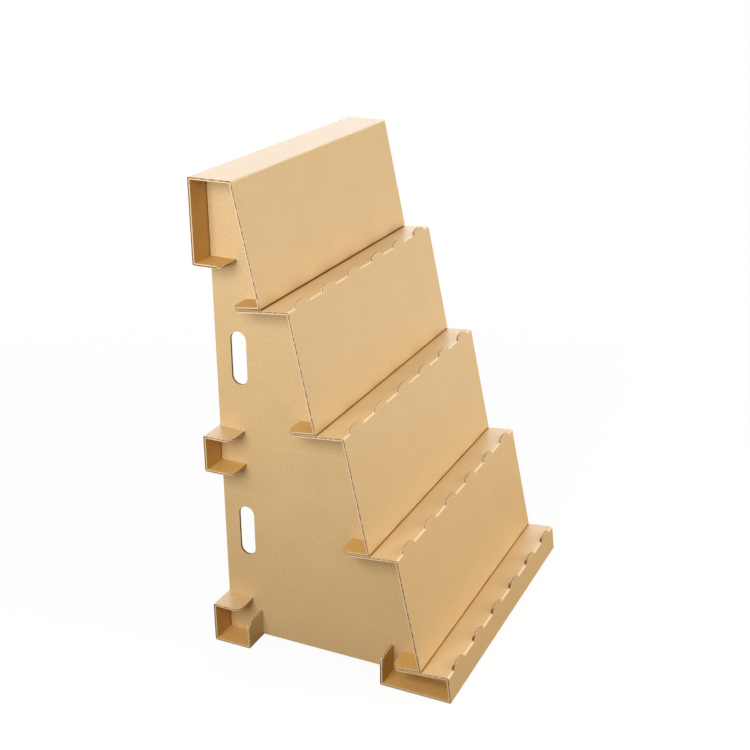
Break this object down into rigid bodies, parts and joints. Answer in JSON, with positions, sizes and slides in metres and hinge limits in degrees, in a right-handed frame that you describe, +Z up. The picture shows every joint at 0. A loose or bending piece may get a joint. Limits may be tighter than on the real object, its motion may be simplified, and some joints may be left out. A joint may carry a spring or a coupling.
{
  "type": "cardboard display stand",
  "caption": "Stepped counter stand of folded corrugated board: sloping fronts and narrow ledges with upright lugs hold rows of postcards between two slotted side panels.",
  "frame": {"origin": "centre of the stand's footprint, on the table", "axes": "+X along the sheets to the right as seen from the front, +Y towards the back, +Z up"},
  "size_m": [0.48, 0.3878, 0.718],
  "materials": {
    "kraft_board": "plain brown kraft liner, matte, with open flutes at the cut edges"
  },
  "bodies": {
    "root": {"left_side_panel": "kraft_board", "right_side_panel": "kraft_board", "top_cap": "kraft_board", "upper_tier_sheet": "kraft_board", "middle_tier_sheet": "kraft_board", "lower_tier_sheet": "kraft_board", "front_base_tray": "kraft_board", "rear_middle_brace": "kraft_board", "rear_base_box": "kraft_board"}
  },
  "joints": []
}
